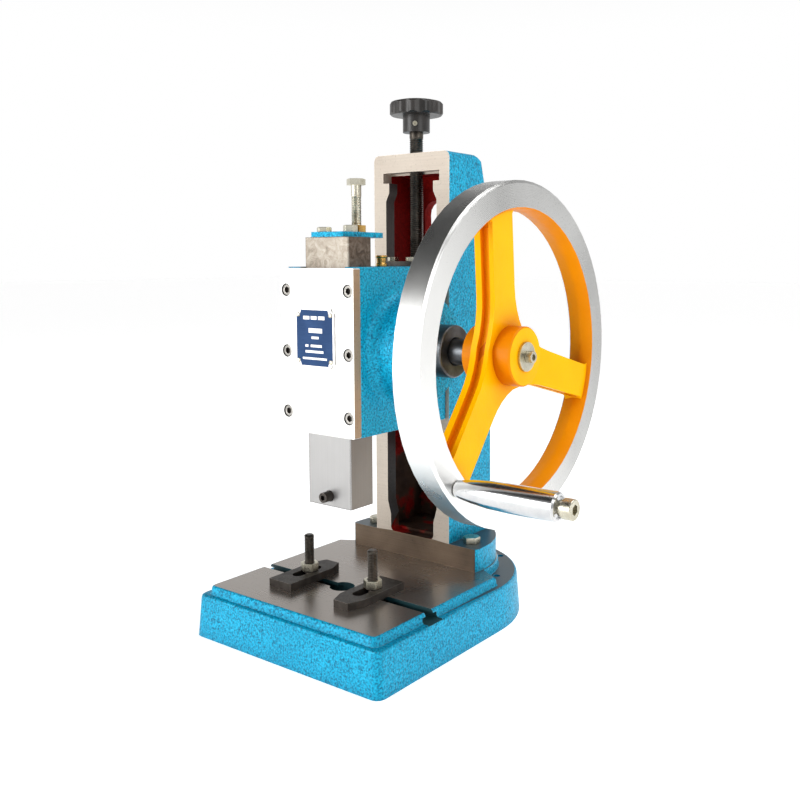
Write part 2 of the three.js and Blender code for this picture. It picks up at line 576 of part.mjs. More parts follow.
function handwheel() {
  const w = WHEEL;
  const rim = turnedX([[w.innerRadius + 0.5, w.rear + 1], [w.innerRadius + 1.5, w.rear], [w.radius - 2, w.rear],
    [w.radius, w.rear + 1.6], [w.radius, w.front - 1.6], [w.radius - 2, w.front],
    [w.innerRadius, w.front], [w.innerRadius - 1, w.front - 1], [w.innerRadius - 2.5, w.front - 7],
    [w.innerRadius - 2.5, w.front - 11], [w.innerRadius + 0.5, w.rear + 1]], 64);
  const hub = turnedX([[0, w.hubRear], [w.hubRadius - 1, w.hubRear], [w.hubRadius, w.hubRear + 1],
    [w.hubRadius, w.hubFront - 1], [w.hubRadius - 1, w.hubFront], [0, w.hubFront]], 36);
  const bore = rodX(SHAFT.radius + RUN_GAP, w.hubRear - 1, w.hubFront + 1, 0, 0, 36);
  const keyway = box([w.hubRear - 1, -KEY.width / 2 - 0.05, 5], [KEY.end, KEY.width / 2 + 0.05, KEY.top + 0.2]);
  const boltHole = rodX(4 + CUT_GAP, w.rear - 1, w.front + 1, ...handleOffset(), 12);
  return cut(join(rim, hub, ...SPOKE.angles.map(spoke)), bore, keyway, boltHole);
}

function handleOffset() {
  const angle = degrees(HANDLE.angle);
  return [HANDLE.radius * Math.cos(angle), HANDLE.radius * Math.sin(angle)];
}

function handleSleeve() {
  const { start, end, baseRadius, gripRadius } = HANDLE;
  const length = end - start;
  const bore = 4 + RUN_GAP;
  return turnedX([[bore, 0], [baseRadius - 0.6, 0], [baseRadius, 1], [gripRadius - 1.6, 13],
    [gripRadius - 0.4, 25], [gripRadius, 40], [gripRadius, length - 1.2], [gripRadius - 1, length],
    [bore + 3.2, length], [bore + 2.6, length - 1.5], [bore, length - 1.5], [bore, 0]], 24);
}

function handleBolt() {
  const under = HANDLE.end - HANDLE.start + SEAT_GAP;
  const face = under + 10.4;
  const body = turnedX([[0, -20], [4, -20], [4, under], [5, under], [5, under + 3.2], [6.6, under + 3.3],
    [6.6, face - 0.6], [6, face], [0, face]], 24);
  return cut(body, prismX(hexagon(6), face - 4.5, face + 1));
}

// ---- spindle and knob ----
function leadScrew() {
  const keeperMiddle = KEEPER.z + KEEPER.thickness / 2;
  const { radius, neckRadius, tip } = SPINDLE;
  return turnedZ([[0, tip], [radius - 1, tip], [radius, tip + 1], [radius, keeperMiddle - 2.6],
    [neckRadius, keeperMiddle - 2.6], [neckRadius, keeperMiddle + 2.6], [radius, keeperMiddle + 2.6],
    [radius, KNOB.hubBottom - SEAT_GAP - 4], [radius, KNOB.hubBottom - SEAT_GAP],
    [radius - 1, KNOB.hubBottom + 14], [0, KNOB.hubBottom + 14]], 18);
}

function screwKeeper() {
  const { thickness, halfWidth, front, rear, boltX, boltY } = KEEPER;
  const plate = prismZ(roundedRect(-halfWidth, halfWidth, front, rear, 2), 0, thickness);
  const fork = SPINDLE.neckRadius + CUT_GAP;
  const holes = [-1, 1].map((side) => rodZ(2.5 + CUT_GAP, -1, thickness + 1, side * boltX, boltY, 12));
  return cut(plate, rodZ(fork, -1, thickness + 1, 0, SPINDLE.y, 16),
    box([-fork, SPINDLE.y, -1], [fork, rear + 1, thickness + 1]), ...holes);
}

function starKnob() {
  const { radius, lobes, hubRadius, bottom, top, hubBottom, screwZ } = KNOB;
  const points = [];
  const steps = 5;
  for (let i = 0; i < lobes * steps; i += 1) {
    const angle = (i * 2 * Math.PI) / (lobes * steps);
    const wave = Math.pow(Math.abs(Math.cos((angle * lobes) / 2)), 0.7);
    const reach = radius - 2.4 + 2.4 * wave;
    points.push([reach * Math.cos(angle), reach * Math.sin(angle)]);
  }
  const height = top - bottom;
  const dome = turnedZ([[0, 0], [radius - 1.5, 0], [radius + 0.5, 2], [radius + 0.5, height - 4],
    [radius - 1.5, height - 1.8], [radius - 7, height - 0.5], [0, height]], 36);
  const star = prismZ(polygon(points), -1, height + 1).intersect(dome);
  const hub = rodZ(hubRadius, hubBottom - bottom, 1, 0, 0, 24);
  const bore = turnedZ([[0, -20], [SPINDLE.radius + 0.15, -20], [SPINDLE.radius + 0.15, hubBottom - bottom + 0.2],
    [SPINDLE.radius - 0.7, hubBottom - bottom + 14.5], [0, hubBottom - bottom + 14.5]], 18);
  const screwHole = rodY(2 + CUT_GAP, -20, 0, 0, screwZ - bottom, 12).rotate([0, 0, KNOB.screwAngle]);
  return cut(join(star, hub), bore, screwHole);
}

function knobScrew() {
  return cut(rodZ(2, -4.5, 0), prismZ(hexagon(2), -1.8, 1));
}

// ---- table clamps ----
function clampStrap() {
  const { width, length, thickness, slotWidth, slotLength, tip, chamfer } = STRAP;
  const [w, l, t] = [width / 2, length / 2, tip / 2];
  const outline = polygon([[-w, -l], [w, -l], [w, l - chamfer], [t, l], [-t, l], [-w, l - chamfer]]);
  const slot = roundedRect(-slotWidth / 2, slotWidth / 2, -slotLength / 2, slotLength / 2, slotWidth / 2 - 0.01, 4);
  return cut(prismZ(outline, 0, thickness), prismZ(slot, -1, thickness + 1));
}

// A T-bolt: its head turns only with the slot, the stud stands up through the strap.
function clampStud() {
  const { radius, top, headHalfWidth, headThickness } = STUD;
  const headTop = TABLE.top - TSLOT.mouthDepth - CUT_GAP;
  const head = box([-headHalfWidth, -headHalfWidth, headTop - headThickness], [headHalfWidth, headHalfWidth, headTop]);
  const stud = turnedZ([[0, headTop - 2], [radius, headTop - 2], [radius, top - 1], [radius - 1, top], [0, top]], 16);
  return join(head, stud);
}

// ---- assembly ----
place('base_casting', baseCasting(), HAMMER_BLUE);
place('column_casting', columnCasting(), HAMMER_BLUE);
[-1, 1].forEach((side, i) => {
  place(`foot_bolt_${i + 1}`, hexBolt(13, 5.3, 4, 36), ZINC,
    [side * FOOT_BOLT.x, FOOT_BOLT.y, COLUMN.footTop + SEAT_GAP]);
  place(`lower_bolt_${i + 1}`, hexBolt(13, 5.3, 4, 30), ZINC,
    [side * LOWER_BOLT.x, LOWER_BOLT.y, BASE.pocketTop - SEAT_GAP], HEAD_DOWN);
});

place('head_casting', headCasting(), HAMMER_BLUE);
place('clamp_shoe', clampShoe(), DARK_STEEL);
SHOE_BOLT_Z.forEach((z, i) => {
  place(`shoe_bolt_${i + 1}`, hexBolt(10, 4, 3, 24), ZINC,
    [0, SHOE.front + SHOE.thickness + SEAT_GAP, z], FACING_REAR);
});
place('gib_plate', gibPlate(), BRONZE);
place('cover_plate', coverPlate(), COVER_STEEL);
COVER.boltZ.forEach((z, row) => {
  [-1, 1].forEach((side, i) => {
    place(`cover_screw_${row * 2 + i + 1}`, socketScrew(4.25, 4.6, 2.5, 18), ZINC,
      [side * COVER.boltX, coverFront + 5.3 - SEAT_GAP, z], FACING_FRONT);
  });
});
place('nameplate', nameplate(), PLATE_BLUE, [PLATE.x, coverFront - SEAT_GAP, PLATE.z]);
rivetPlaces().forEach(([x, z], i) => {
  place(`nameplate_rivet_${i + 1}`, rivet(), ZINC, [x, coverFront - SEAT_GAP - PLATE.thickness, z], FACING_FRONT);
});

place('ram', ram(), GROUND_STEEL);
place('tool_screw', toolScrew(), BLACK_OXIDE, [0, -RAM.halfDepth, TOOL_SCREW_Z], FACING_FRONT);
place('stop_plate', stopPlate(), HAMMER_BLUE, [0, 0, RAM.top + SEAT_GAP]);
const stopPlateTop = RAM.top + SEAT_GAP + STOP_PLATE.thickness;
PLATE_BOLTS.forEach(([x, y], i) => {
  place(`plate_bolt_${i + 1}`, hexBolt(10, 3.6 + 1.6 * i, 3, 14), ZINC, [x, y, stopPlateTop + SEAT_GAP]);
});
place('stop_bolt', hexBolt(13, 5, 4, STOP_BOLT.headBottom - STOP_BOLT.tip), ZINC, [0, STOP_BOLT.y, STOP_BOLT.headBottom]);
place('stop_nut', hexNut(13, 5.6, 4 + CUT_GAP), BRASS, [0, STOP_BOLT.y, stopPlateTop + SEAT_GAP]);
place('oil_cup', oilCup(), BRASS, [OIL_CUP.x, OIL_CUP.y, HEAD.top]);

const shaftCentre = [0, SHAFT.y, SHAFT.z];
place('pinion_shaft', pinionShaft(), DARK_STEEL, shaftCentre);
place('shaft_key', shaftKey(), DARK_STEEL, shaftCentre);
place('shaft_bush', shaftBush(), DARK_STEEL, shaftCentre);
place('shaft_cap', shaftCap(), HAMMER_BLUE, shaftCentre);
capBoltAngles().forEach((angle, i) => {
  place(`cap_screw_${i + 1}`, hexBolt(7, 3, 2, 16), ZINC, [CAP.end - SEAT_GAP, ...capBoltPlace(angle)], FACING_LEFT);
});

place('handwheel', handwheel(), WHEEL_YELLOW, shaftCentre);
place('wheel_washer', washerX(10.6, 2.5 + CUT_GAP, 1.8), ZINC, [WHEEL.hubFront + SEAT_GAP, SHAFT.y, SHAFT.z]);
place('wheel_bolt', socketScrew(4.25, 5, 2.5, 20), ZINC, [WHEEL.hubFront + 2, SHAFT.y, SHAFT.z], FACING_RIGHT);

const [handleY, handleZ] = handleOffset();
const handleCentre = [HANDLE.start, SHAFT.y + handleY, SHAFT.z + handleZ];
place('handle_sleeve', handleSleeve(), CHROME, handleCentre);
place('handle_bolt', handleBolt(), ZINC, handleCentre);

place('lead_screw', leadScrew(), BLACK_OXIDE, [0, SPINDLE.y, 0]);
place('screw_keeper', screwKeeper(), BLACK_OXIDE, [0, 0, KEEPER.z]);
[-1, 1].forEach((side, i) => {
  place(`keeper_bolt_${i + 1}`, hexBolt(8, 3.5, 2.5, 14), ZINC,
    [side * KEEPER.boltX, KEEPER.boltY, KEEPER.z + KEEPER.thickness + SEAT_GAP]);
});
place('star_knob', starKnob(), BLACK_OXIDE, [0, SPINDLE.y, KNOB.bottom]);
const screwWay = degrees(KNOB.screwAngle);
place('knob_screw', knobScrew().rotate([90, 0, KNOB.screwAngle]), ZINC,
  [KNOB.hubRadius * Math.sin(screwWay), SPINDLE.y - KNOB.hubRadius * Math.cos(screwWay), KNOB.screwZ]);

const strapTop = TABLE.top + SEAT_GAP + STRAP.thickness;
STRAPS.forEach(({ x, middle, nose }, i) => {
  place(`clamp_strap_${i + 1}`, clampStrap(), BLACK_OXIDE, [x, middle, TABLE.top + SEAT_GAP], [0, 0, nose > 0 ? 0 : 180]);
  place(`clamp_stud_${i + 1}`, clampStud(), BLACK_OXIDE, [x, 0, 0]);
  place(`clamp_nut_${i + 1}`, hexNutZ(13, strapTop + SEAT_GAP, 6.6, STUD.radius + CUT_GAP), ZINC, [x, 0, 0]);
});

export default press;
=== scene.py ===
"""Looks of the bench hand press: materials, threads and fine detail on the CAD frame, with a studio."""
import math

import bmesh
import bpy
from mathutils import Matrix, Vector


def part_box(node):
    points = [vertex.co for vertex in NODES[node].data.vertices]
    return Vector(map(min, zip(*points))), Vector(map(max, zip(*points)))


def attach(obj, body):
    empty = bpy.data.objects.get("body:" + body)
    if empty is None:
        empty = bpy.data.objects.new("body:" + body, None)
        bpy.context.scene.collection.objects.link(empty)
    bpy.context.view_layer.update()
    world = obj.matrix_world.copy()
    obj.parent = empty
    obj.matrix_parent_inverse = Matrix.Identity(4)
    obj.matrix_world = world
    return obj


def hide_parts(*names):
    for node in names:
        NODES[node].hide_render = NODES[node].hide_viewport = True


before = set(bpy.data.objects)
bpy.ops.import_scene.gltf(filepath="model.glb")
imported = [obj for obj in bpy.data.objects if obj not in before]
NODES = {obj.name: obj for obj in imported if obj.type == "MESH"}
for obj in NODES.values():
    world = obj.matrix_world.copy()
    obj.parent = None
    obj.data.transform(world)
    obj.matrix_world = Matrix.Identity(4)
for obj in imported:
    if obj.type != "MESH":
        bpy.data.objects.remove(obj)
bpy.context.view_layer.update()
MM = 0.001
AXIS_Y = -56 * MM  # the ram's axis stands this far in front of the frame's origin
SHAFT = Vector((0, AXIS_Y + 35 * MM, 231.8 * MM))

# Heights and places in millimetres, measured from the ram's axis and the base's underside.
TABLE_TOP = 40.8
LEDGE_TOP = 34.0  # the base's rear ledge beside the table
FOOT_TOP = 60.2
POCKET_TOP = 21.0  # the hollow under the base
BASE_MIDDLE_Y = 47.0
COLUMN_FRONT = 90.0
COLUMN_TOP = 388.7
SPINDLE_Y = 98.0
WINDOW = {"bottom": 60.5, "top": 373.0, "half_width": 31.5, "front": 90.5, "rear": 144.5}
BOSS_END = 61.0
COVER_FACE = {"half_width": 37.2, "bottom": 169.0, "top": 293.5}


# ---- shader helpers ----
class Shader:
    """A material's node tree, with the surface shader ready and short calls for adding nodes."""

    def __init__(self, name):
        self.material = bpy.data.materials.new(name)
        self.material.use_nodes = True
        self.tree = self.material.node_tree
        self.bsdf = self.tree.nodes["Principled BSDF"]
        self.coordinates = self.add("ShaderNodeTexCoord").outputs["Object"]

    def add(self, kind, inputs=None, **settings):
        node = self.tree.nodes.new(kind)
        for key, value in settings.items():
            setattr(node, key, value)
        for key, value in (inputs or {}).items():
            self.put(node.inputs[key], value)
        return node

    def put(self, socket, value):
        if isinstance(value, bpy.types.NodeSocket):
            self.tree.links.new(value, socket)
        else:
            socket.default_value = value

    def set(self, **values):
        names = {"colour": "Base Color", "rough": "Roughness", "metal": "Metallic", "coat": "Coat Weight",
                 "coat_rough": "Coat Roughness", "normal": "Normal", "specular": "Specular IOR Level",
                 "glow": "Emission Color", "glow_strength": "Emission Strength"}
        for key, value in values.items():
            if key in ("colour", "glow") and isinstance(value, tuple):
                value = (*value, 1.0)
            self.put(self.bsdf.inputs[names[key]], value)
        return self.material

    def scaled(self, scale):
        return self.add("ShaderNodeMapping", {"Vector": self.coordinates, "Scale": scale}).outputs["Vector"]

    def noise(self, scale, detail=2.0, vector=None, distortion=0.0, rough=0.5):
        return self.add("ShaderNodeTexNoise", {"Vector": vector or self.coordinates, "Scale": scale,
                                               "Detail": detail, "Distortion": distortion,
                                               "Roughness": rough}).outputs["Fac"]

    def cells(self, scale, vector, smoothness):
        node = self.add("ShaderNodeTexVoronoi", {"Vector": vector, "Scale": scale}, feature="SMOOTH_F1")
        node.inputs["Smoothness"].default_value = smoothness
        return node.outputs["Distance"]

    def math(self, operation, a, b=0.0, clamp=False):
        return self.add("ShaderNodeMath", {0: a, 1: b}, operation=operation, use_clamp=clamp).outputs[0]

    def ranged(self, value, low, high, to_low, to_high):
        return self.add("ShaderNodeMapRange", {"Value": value, "From Min": low, "From Max": high,
                                               "To Min": to_low, "To Max": to_high}).outputs["Result"]

    def ramp(self, value, stops):
        node = self.add("ShaderNodeValToRGB", {"Fac": value})
        elements = node.color_ramp.elements
        while len(elements) < len(stops):
            elements.new(0.5)
        for element, (position, colour) in zip(elements, stops):
            element.position = position
            element.color = (*colour, 1.0)
        return node.outputs["Color"]

    def mix(self, factor, a, b, blend="MIX"):
        node = self.add("ShaderNodeMix", data_type="RGBA", blend_type=blend)
        self.put(node.inputs["Factor"], factor)
        for key, value in (("A", a), ("B", b)):
            sockets = [s for s in node.inputs if s.name == key and s.type == "RGBA"]
            self.put(sockets[0], (*value, 1.0) if isinstance(value, tuple) else value)
        return [s for s in node.outputs if s.type == "RGBA"][0]

    def bump(self, height, strength, distance):
        inputs = {"Height": height, "Strength": strength, "Distance": distance}
        return self.add("ShaderNodeBump", inputs).outputs["Normal"]

    def edges(self, radius, low=0.0, high=0.12):
        """1 along edges that stick out or fold in, 0 on open faces."""
        rounded = self.add("ShaderNodeBevel", {"Radius": radius}, samples=4).outputs["Normal"]
        flat = self.add("ShaderNodeNewGeometry").outputs["Normal"]
        product = self.add("ShaderNodeVectorMath", {0: rounded, 1: flat}, operation="DOT_PRODUCT")
        facing = product.outputs["Value"]
        return self.ranged(facing, 1.0 - low, 1.0 - high, 0.0, 1.0)

    def painted_shade_in_hollows(self, distance):
        """Mask for painted shade: 1 deep in corners and hollows, 0 in the open."""
        open_sky = self.add("ShaderNodeAmbientOcclusion", {"Distance": distance}, samples=8).outputs["AO"]
        return self.ranged(open_sky, 0.35, 0.95, 1.0, 0.0)

    def axis(self, name):
        return self.add("ShaderNodeSeparateXYZ", {"Vector": self.coordinates}).outputs[name]

    def radius_from(self, y, z):
        dy = self.math("SUBTRACT", self.axis("Y"), y)
        dz = self.math("SUBTRACT", self.axis("Z"), z)
        squares = self.math("ADD", self.math("MULTIPLY", dy, dy), self.math("MULTIPLY", dz, dz))
        return self.math("SQRT", squares)


def hammered_blue():
    """Hammer finish: dimples about two millimetres across, with darker specks between them, and painted shade
    that darkens corners and hollows.
    """
    s = Shader("hammered_blue")
    push = s.add("ShaderNodeTexNoise", {"Vector": s.coordinates, "Scale": 260.0}).outputs["Color"]
    push = s.add("ShaderNodeVectorMath", {0: push, "Scale": 0.0022}, operation="SCALE").outputs["Vector"]
    warped = s.add("ShaderNodeVectorMath", {0: s.coordinates, 1: push}, operation="ADD").outputs["Vector"]
    dimples = s.cells(480.0, vector=warped, smoothness=0.35)
    specks = s.noise(640.0, 3.0, rough=0.62)
    patches = s.noise(26.0, 3.0)
    base = s.ramp(specks, [(0.33, (0.0, 0.10, 0.19)), (0.43, (0.0, 0.26, 0.44)), (0.53, (0.0, 0.42, 0.69)),
                           (0.68, (0.010, 0.55, 0.84))])
    tinted = s.mix(s.ranged(patches, 0.35, 0.7, 0.0, 0.30), base, (0.0, 0.24, 0.42))
    # Painted shade: corners and hollows are darkened towards a deep blue.
    tinted = s.mix(s.math("MULTIPLY", s.painted_shade_in_hollows(0.012), 0.45), tinted, (0.0, 0.09, 0.17))
    worn = s.mix(s.math("MULTIPLY", s.edges(0.0012), s.ranged(s.noise(120.0, 3.0), 0.45, 0.65, 0.0, 0.7)),
                 tinted, (0.22, 0.42, 0.50))
    relief = s.math("ADD", dimples, s.math("MULTIPLY", specks, 0.35))
    rough = s.ranged(specks, 0.3, 0.7, 0.50, 0.34)
    return s.set(colour=worn, metal=0.15, rough=rough, specular=0.22, coat=0.06, coat_rough=0.2,
                 normal=s.bump(relief, 0.75, 0.0007))


def machined(name, light, dark, along, rough=(0.28, 0.42), grain=1400.0, patch=14.0, strength=0.25,
             metal=0.9):
    """Machined metal: fine lines along one axis, slow changes of tone and small dark pores."""
    s = Shader(name)
    scale = tuple(grain * 0.01 if axis == along else grain for axis in "XYZ")
    lines = s.noise(1.0, 3.0, vector=s.scaled(scale))
    clouds = s.noise(patch, 3.0, distortion=0.3)
    pores = s.noise(650.0, 2.0, rough=0.7)
    tone = s.ramp(s.math("ADD", s.math("MULTIPLY", clouds, 0.75), s.math("MULTIPLY", lines, 0.25)),
                  [(0.3, dark), (0.7, light)])
    tone = s.mix(s.ranged(pores, 0.62, 0.72, 0.0, 0.5), tone, tuple(c * 0.35 for c in dark))
    worn = s.mix(s.math("MULTIPLY", s.edges(0.0008), 0.5), tone, tuple(min(1, c * 1.7) for c in light))
    uneven = s.math("ADD", clouds, s.math("MULTIPLY", lines, 0.3))
    return s.set(colour=worn, metal=metal, rough=s.ranged(uneven, 0.4, 0.9, rough[0], rough[1]),
                 normal=s.bump(lines, strength, 0.00012))


def turned_rim():
    """The wheel's rim: fine turned rings on both faces and round its outside, bright with dark pores, and a
    painted highlight that whitens its lower front side.
    """
    s = Shader("turned_rim")
    radius = s.radius_from(SHAFT.y, SHAFT.z)
    wobble = s.math("MULTIPLY", s.noise(18.0, 2.0), 0.0006)
    rings = s.math("SINE", s.math("MULTIPLY", s.math("ADD", radius, wobble), 2 * math.pi / 0.0011))
    hoops = s.math("SINE", s.math("MULTIPLY", s.math("ADD", s.axis("X"), wobble), 2 * math.pi / 0.0009))
    sideways = s.math("ABSOLUTE", s.add("ShaderNodeSeparateXYZ", {
        "Vector": s.add("ShaderNodeNewGeometry").outputs["Normal"]}).outputs["X"])
    on_face = s.ranged(sideways, 0.4, 0.6, 0.0, 1.0)
    lines = s.add("ShaderNodeMix", {"Factor": on_face, "A": hoops, "B": rings}).outputs["Result"]
    grain = s.noise(900.0, 3.0, rough=0.7)
    slow = s.noise(16.0, 2.0)
    tone = s.ramp(s.math("ADD", s.math("MULTIPLY", slow, 0.6), s.math("MULTIPLY", grain, 0.4)),
                  [(0.30, (0.42, 0.42, 0.41)), (0.66, (0.62, 0.62, 0.61))])
    tone = s.mix(s.ranged(grain, 0.56, 0.70, 0.0, 0.6), tone, (0.14, 0.135, 0.13))
    # Painted highlight: the tone goes near-white towards the rim's lower front (-Y) side.
    along = s.math("ADD", s.axis("Y"), s.math("MULTIPLY", s.axis("Z"), 0.6))
    painted_highlight = s.ranged(along, SHAFT.y + 0.6 * SHAFT.z + 0.03, SHAFT.y + 0.6 * SHAFT.z - 0.07, 0.0, 0.85)
    tone = s.mix(painted_highlight, tone, (0.95, 0.95, 0.93))
    return s.set(colour=tone, metal=1.0, rough=s.ranged(slow, 0.3, 0.7, 0.24, 0.34),
                 normal=s.bump(s.math("ADD", lines, s.math("MULTIPLY", grain, 1.4)), 0.30, 0.00012))


def enamel(name, colour, shade, relief=0.35, scale=300.0):
    """Thick enamel over a sand casting: soft lumps, with painted shade making it darker and warmer in corners
    and hollows.
    """
    s = Shader(name)
    lumps = s.noise(scale, 4.0, distortion=0.5)
    slow = s.noise(28.0, 3.0)
    tone = s.mix(s.ranged(slow, 0.35, 0.65, 0.0, 0.18), colour, shade)
    # Painted shade: corners and hollows take the darker, warmer shade colour.
    tone = s.mix(s.painted_shade_in_hollows(0.022), tone, shade)
    height = s.math("ADD", lumps, s.math("MULTIPLY", slow, 1.2))
    return s.set(colour=tone, metal=0.0, rough=s.ranged(lumps, 0.3, 0.7, 0.30, 0.42), specular=0.06,
                 coat=0.03, coat_rough=0.12, normal=s.bump(height, relief, 0.0006))


def metal(name, colour, rough, tint=None, grain=900.0, strength=0.12, patch=90.0, metallic=1.0, edge=1.35):
    """Small metal parts: cloudy tone, faint tool marks and brighter, rubbed edges."""
    s = Shader(name)
    clouds = s.noise(patch, 4.0, distortion=0.4)
    marks = s.noise(grain, 3.0, rough=0.65)
    tone = s.mix(s.ranged(clouds, 0.35, 0.68, 0.0, 1.0), colour, tint or tuple(c * 0.72 for c in colour))
    bright = tuple(min(1.0, c * edge + 0.03) for c in colour)
    rubbed = s.mix(s.math("MULTIPLY", s.edges(0.0005), 0.7), tone, bright)
    return s.set(colour=rubbed, metal=metallic, rough=s.ranged(marks, 0.3, 0.7, rough[0], rough[1]),
                 normal=s.bump(marks, strength, 0.0001))


def primer():
    """The bare inside of the column: dark brown iron, with worn red primer towards the top."""
    s = Shader("red_primer")
    grain = s.noise(420.0, 4.0, rough=0.6)
    brown = s.ramp(s.noise(60.0, 3.0), [(0.35, (0.030, 0.016, 0.011)), (0.7, (0.075, 0.042, 0.028))])
    red = s.ramp(grain, [(0.35, (0.17, 0.005, 0.004)), (0.7, (0.30, 0.010, 0.008))])
    height = s.ranged(s.axis("Z"), 0.12, 0.24, 0.0, 1.0)
    patchy = s.math("ADD", height, s.ranged(s.noise(32.0, 3.0), 0.52, 0.60, 0.0, 1.0), clamp=True)
    tone = s.mix(patchy, brown, red)
    return s.set(colour=tone, metal=0.0, rough=0.6, specular=0.04, normal=s.bump(grain, 0.5, 0.0006))


def ram_steel(name, ground_tones, top_tones):
    """The ram: ground pale steel where it slides out below, brown and marked on its unground top."""
    s = Shader(name)
    lines = s.noise(1.0, 3.0, vector=s.scaled((1400.0, 1400.0, 14.0)))
    slow = s.noise(24.0, 3.0)
    marks = s.noise(150.0, 4.0, rough=0.7, distortion=1.2)
    ground = s.ramp(s.math("ADD", s.math("MULTIPLY", slow, 0.7), s.math("MULTIPLY", lines, 0.3)),
                    [(0.3, ground_tones[0]), (0.7, ground_tones[1])])
    rough_top = s.ramp(s.math("ADD", s.math("MULTIPLY", slow, 0.35), s.math("MULTIPLY", marks, 0.65)),
                       [(0.30, top_tones[0]), (0.48, top_tones[1]), (0.62, top_tones[2])])
    top = s.ranged(s.axis("Z"), 0.255, 0.262, 0.0, 1.0)
    tone = s.mix(top, ground, rough_top)
    tone = s.mix(s.edges(0.0012, 0.01, 0.1), tone, (0.035, 0.028, 0.022))
    return s.set(colour=tone, metal=s.ranged(top, 0.0, 1.0, 0.85, 0.45),
                 rough=s.ranged(slow, 0.3, 0.7, 0.34, 0.44),
                 normal=s.bump(s.math("ADD", lines, s.math("MULTIPLY", marks, top)), 0.15, 0.00015))


def plastic():
    """The knob: black plastic with a little brown dust."""
    s = Shader("knob_plastic")
    grain = s.noise(1500.0, 2.0)
    dust = s.noise(60.0, 4.0)
    tone = s.ramp(dust, [(0.35, (0.010, 0.009, 0.008)), (0.7, (0.030, 0.025, 0.022))])
    return s.set(colour=tone, metal=0.0, rough=s.ranged(dust, 0.3, 0.7, 0.30, 0.42),
                 normal=s.bump(grain, 0.08, 0.0002))


def plate_blue():
    """The nameplate's printed field: dull blue on brushed sheet."""
    s = Shader("nameplate_blue")
    grain = s.noise(1.0, 3.0, vector=s.scaled((120.0, 120.0, 5000.0)))
    tone = s.ramp(s.math("ADD", s.math("MULTIPLY", grain, 0.5), s.math("MULTIPLY", s.noise(70.0), 0.5)),
                  [(0.3, (0.012, 0.045, 0.135)), (0.7, (0.03, 0.080, 0.21))])
    return s.set(colour=tone, metal=0.0, rough=0.5, specular=0.15, normal=s.bump(grain, 0.06, 0.0001))


BLUE = hammered_blue()
TABLE = machined("machined_table", (0.46, 0.42, 0.385), (0.33, 0.295, 0.265), "X", (0.22, 0.34), patch=11.0)
FOOT = machined("machined_foot", (0.19, 0.135, 0.09), (0.06, 0.04, 0.026), "X", (0.36, 0.5), strength=0.5,
                patch=24.0, metal=0.6)
GUIDE = machined("machined_guide", (0.60, 0.53, 0.45), (0.42, 0.36, 0.30), "X", (0.42, 0.58), strength=0.5,
                 patch=20.0, metal=0.4)
SLATE = machined("machined_slate", (0.14, 0.18, 0.20), (0.08, 0.105, 0.12), "X", (0.35, 0.5), strength=0.35)
COVER = machined("cover_steel", (0.93, 0.92, 0.88), (0.86, 0.845, 0.81), "Z", (0.30, 0.38), strength=0.08,
                 patch=9.0, metal=0.6)
RAM = ram_steel("ram_front", ((0.36, 0.355, 0.35), (0.43, 0.425, 0.42)),
                ((0.13, 0.10, 0.07), (0.36, 0.31, 0.25), (0.49, 0.445, 0.38)))
# Painted shade: a darker copy of the ram's steel for its right side.
RAM_IN_PAINTED_SHADE = ram_steel("ram_in_painted_shade", ((0.20, 0.175, 0.15), (0.27, 0.24, 0.21)),
                     ((0.025, 0.018, 0.012), (0.085, 0.06, 0.042), (0.19, 0.15, 0.115)))
RIM = turned_rim()
# The second colour is the painted shade for corners and hollows, and also a slow random change of tone.
YELLOW = enamel("wheel_yellow", (1.0, 0.53, 0.0), (0.80, 0.24, 0.0))
# Painted shade: an orange copy of the wheel's yellow, for the hub's side and the rim's inside.
YELLOW_IN_PAINTED_SHADE = enamel("wheel_yellow_in_painted_shade", (0.82, 0.27, 0.002), (0.55, 0.13, 0.0), relief=0.6, scale=160.0)
PRIMER = primer()
KNOB = plastic()
PLATE_FIELD = plate_blue()
# Painted shade: the slot's teal darkened to near-black for the faces inside the T-slot and the centre hole.
SLOT_COLOUR_AND_PAINTED_SHADE = machined("slot_colour_and_painted_shade", (0.012, 0.075, 0.09), (0.004, 0.022, 0.028), "X", (0.4, 0.6), metal=0.1)
ZINC = metal("zinc_plate", (0.66, 0.63, 0.52), (0.22, 0.42), (0.42, 0.39, 0.30))
OXIDE = metal("black_oxide", (0.085, 0.075, 0.066), (0.36, 0.58), (0.04, 0.034, 0.03), edge=3.2, metallic=0.8)
DARK = metal("dark_steel", (0.15, 0.16, 0.17), (0.28, 0.45), (0.07, 0.075, 0.08), edge=2.2)
THREAD = metal("oiled_thread", (0.12, 0.105, 0.088), (0.30, 0.5), (0.035, 0.03, 0.026), edge=2.0)
SCREW_FACE = metal("screw_face", (0.36, 0.345, 0.32), (0.26, 0.42), (0.24, 0.23, 0.21))
BRASS = metal("brass", (0.72, 0.46, 0.14), (0.18, 0.34), (0.46, 0.27, 0.08))
BRONZE = metal("bronze", (0.50, 0.30, 0.12), (0.3, 0.45), (0.30, 0.17, 0.07))
CHROME = metal("chrome", (0.66, 0.66, 0.66), (0.12, 0.20), (0.56, 0.57, 0.58), strength=0.03)
SILVER = metal("plate_silver", (0.80, 0.80, 0.79), (0.28, 0.4), (0.70, 0.70, 0.69))
CAST_RAW = machined("raw_casting", (0.16, 0.15, 0.15), (0.07, 0.065, 0.06), "X", (0.5, 0.7), grain=500.0,
                    strength=0.6)
SIDE_BRONZE = machined("cover_edge", (0.50, 0.37, 0.25), (0.30, 0.21, 0.13), "Z", (0.4, 0.55), metal=0.5)


